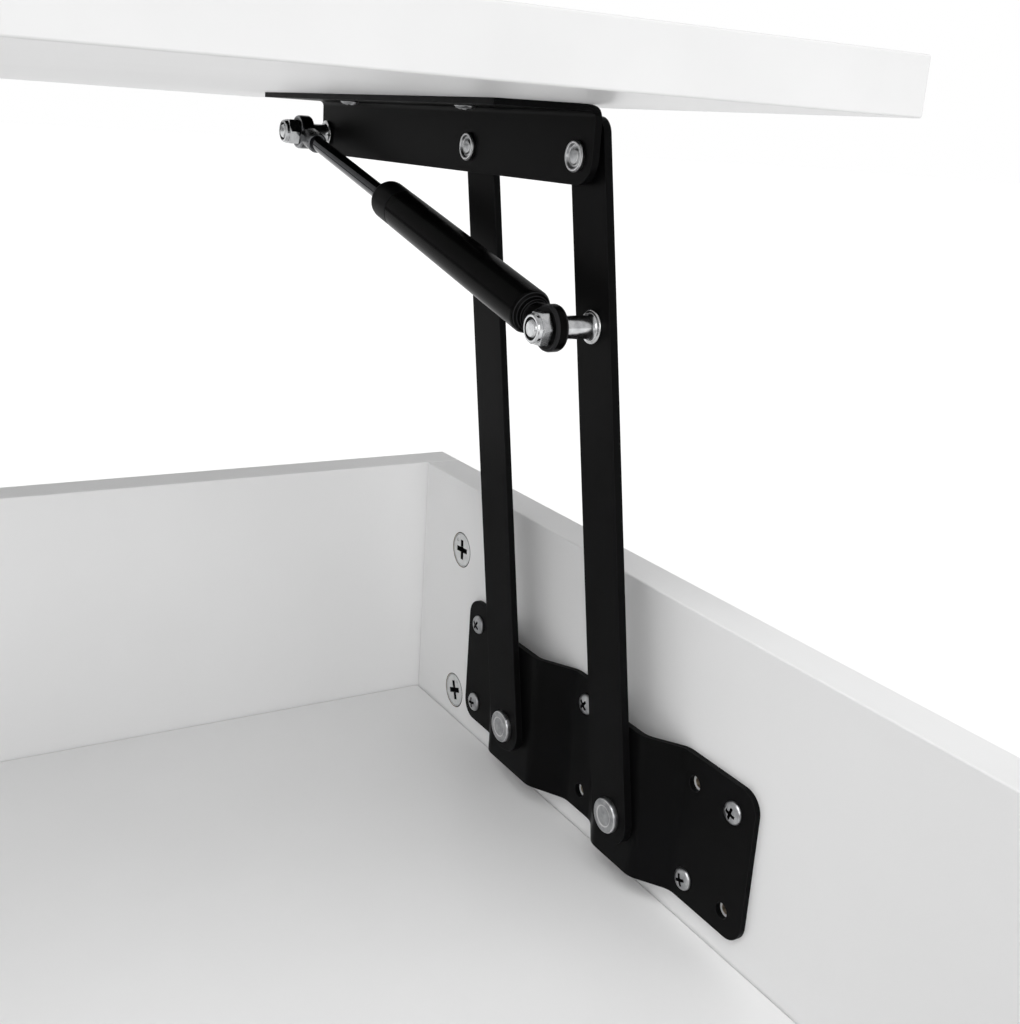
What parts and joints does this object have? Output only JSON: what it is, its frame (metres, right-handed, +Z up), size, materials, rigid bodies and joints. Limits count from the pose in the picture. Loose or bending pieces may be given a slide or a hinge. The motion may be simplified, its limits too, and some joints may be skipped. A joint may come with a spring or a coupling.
{
  "type": "lift top coffee table",
  "caption": "Coffee table whose lid rises and moves towards the user on parallel-arm lifts with gas struts, over a storage compartment and open cubbies.",
  "frame": {"origin": "middle of the raised table's footprint, on the ground", "axes": "+X along the long side, +Y away from the person at the table, +Z up; the lid is stored raised, moved towards -Y"},
  "size_m": [1, 0.7448, 0.5681],
  "materials": {
    "white_laminate_board": "satin white laminate on chipboard",
    "black_powder_coated_steel": "satin black powder coat",
    "zinc_plated_steel": "bright zinc plate",
    "zinc_casting": "die-cast zinc, dull",
    "chromed_rod": "polished hard chrome",
    "dark_plated_steel": "dark nickel plate",
    "black_painted_tube": "satin black paint",
    "black_acetal": "matt moulded plastic",
    "beech": "bare fluted beech",
    "nylon": "moulded nylon"
  },
  "bodies": {
    "case": {"front_panel": "white_laminate_board", "rear_panel": "white_laminate_board", "left_side_panel": "white_laminate_board", "right_side_panel": "white_laminate_board", "compartment_floor": "white_laminate_board", "base_panel": "white_laminate_board", "centre_divider": "white_laminate_board", "front_kick_rail": "white_laminate_board", "rear_kick_rail": "white_laminate_board", "cam_locks": "zinc_casting", "cam_bolts": "zinc_plated_steel", "dowels": "beech", "foot_glides": "nylon", "glide_nails": "zinc_plated_steel", "left_base_plate": "black_powder_coated_steel", "left_plate_screws": "zinc_plated_steel", "left_lower_pins": "zinc_plated_steel", "left_lower_washers": "black_acetal", "right_base_plate": "black_powder_coated_steel", "right_plate_screws": "zinc_plated_steel", "right_lower_pins": "zinc_plated_steel", "right_lower_washers": "black_acetal"},
    "left_rear_arm": {"left_rear_arm": "black_powder_coated_steel", "left_arm_stud": "zinc_plated_steel", "left_arm_nut": "zinc_plated_steel"},
    "left_front_arm": {"left_front_arm": "black_powder_coated_steel"},
    "right_rear_arm": {"right_rear_arm": "black_powder_coated_steel", "right_arm_stud": "zinc_plated_steel", "right_arm_nut": "zinc_plated_steel"},
    "right_front_arm": {"right_front_arm": "black_powder_coated_steel"},
    "lid": {"lid": "white_laminate_board", "left_top_bracket": "black_powder_coated_steel", "left_bracket_screws": "zinc_plated_steel", "left_upper_pins": "zinc_plated_steel", "left_upper_spacers": "black_acetal", "left_stud_tail": "zinc_plated_steel", "right_top_bracket": "black_powder_coated_steel", "right_bracket_screws": "zinc_plated_steel", "right_upper_pins": "zinc_plated_steel", "right_upper_spacers": "black_acetal", "right_stud_tail": "zinc_plated_steel"},
    "left_strut_tube": {"left_strut_tube": "black_painted_tube", "left_strut_guide": "black_acetal", "left_tube_eye": "black_painted_tube"},
    "left_strut_rod": {"left_piston_rod": "chromed_rod", "left_strut_piston": "black_acetal", "left_rod_eye": "dark_plated_steel", "left_lid_stud": "zinc_plated_steel", "left_lid_nut": "zinc_plated_steel"},
    "right_strut_tube": {"right_strut_tube": "black_painted_tube", "right_strut_guide": "black_acetal", "right_tube_eye": "black_painted_tube"},
    "right_strut_rod": {"right_piston_rod": "chromed_rod", "right_strut_piston": "black_acetal", "right_rod_eye": "dark_plated_steel", "right_lid_stud": "zinc_plated_steel", "right_lid_nut": "zinc_plated_steel"}
  },
  "joints": [
    {"name": "left_rear_arm_pivot", "type": "hinge", "parent": "case", "child": "left_rear_arm", "pos_m": [-0.4725, 0.05595, 0.328], "axis": [-1, 0, 0], "range_deg": [0, 84.8]},
    {"name": "left_front_arm_pivot", "type": "hinge", "parent": "case", "child": "left_front_arm", "pos_m": [-0.4725, -0.01405, 0.328], "axis": [-1, 0, 0], "range_deg": [0, 84.85]},
    {"name": "right_rear_arm_pivot", "type": "hinge", "parent": "case", "child": "right_rear_arm", "pos_m": [0.4725, 0.05595, 0.328], "axis": [-1, 0, 0], "range_deg": [0, 84.85]},
    {"name": "right_front_arm_pivot", "type": "hinge", "parent": "case", "child": "right_front_arm", "pos_m": [0.4725, -0.01405, 0.328], "axis": [-1, 0, 0], "range_deg": [0, 84.85]},
    {"name": "lid_pivot", "type": "hinge", "parent": "left_rear_arm", "child": "lid", "pos_m": [-0.4725, 0.01292, 0.53763], "axis": [-1, 0, 0], "range_deg": [-84.85, 0]},
    {"name": "left_strut_pivot", "type": "hinge", "parent": "left_rear_arm", "child": "left_strut_tube", "pos_m": [-0.4554, 0.02352, 0.48601], "axis": [-1, 0, 0], "range_deg": [-92.79, 0]},
    {"name": "left_strut_slide", "type": "slide", "parent": "left_strut_tube", "child": "left_strut_rod", "axis": [0, 0.9714, -0.2373], "range_m": [0, 0.06651]},
    {"name": "right_strut_pivot", "type": "hinge", "parent": "right_rear_arm", "child": "right_strut_tube", "pos_m": [0.4554, 0.02352, 0.48601], "axis": [-1, 0, 0], "range_deg": [-92.79, 0]},
    {"name": "right_strut_slide", "type": "slide", "parent": "right_strut_tube", "child": "right_strut_rod", "axis": [0, 0.9714, -0.2373], "range_m": [0, 0.06651]}
  ],
  "couplings": [
    {"joint": "left_front_arm_pivot", "follows": "left_rear_arm_pivot", "ratio": 1},
    {"joint": "right_rear_arm_pivot", "follows": "left_rear_arm_pivot", "ratio": 1},
    {"joint": "right_front_arm_pivot", "follows": "left_rear_arm_pivot", "ratio": 1},
    {"joint": "lid_pivot", "follows": "left_rear_arm_pivot", "ratio": -1},
    {"joint": "left_strut_pivot", "follows": "left_rear_arm_pivot", "ratio": -1.0936},
    {"joint": "left_strut_slide", "follows": "left_rear_arm_pivot", "m_per_rad": 0.044926},
    {"joint": "right_strut_pivot", "follows": "left_rear_arm_pivot", "ratio": -1.0936},
    {"joint": "right_strut_slide", "follows": "left_rear_arm_pivot", "m_per_rad": 0.044926}
  ]
}
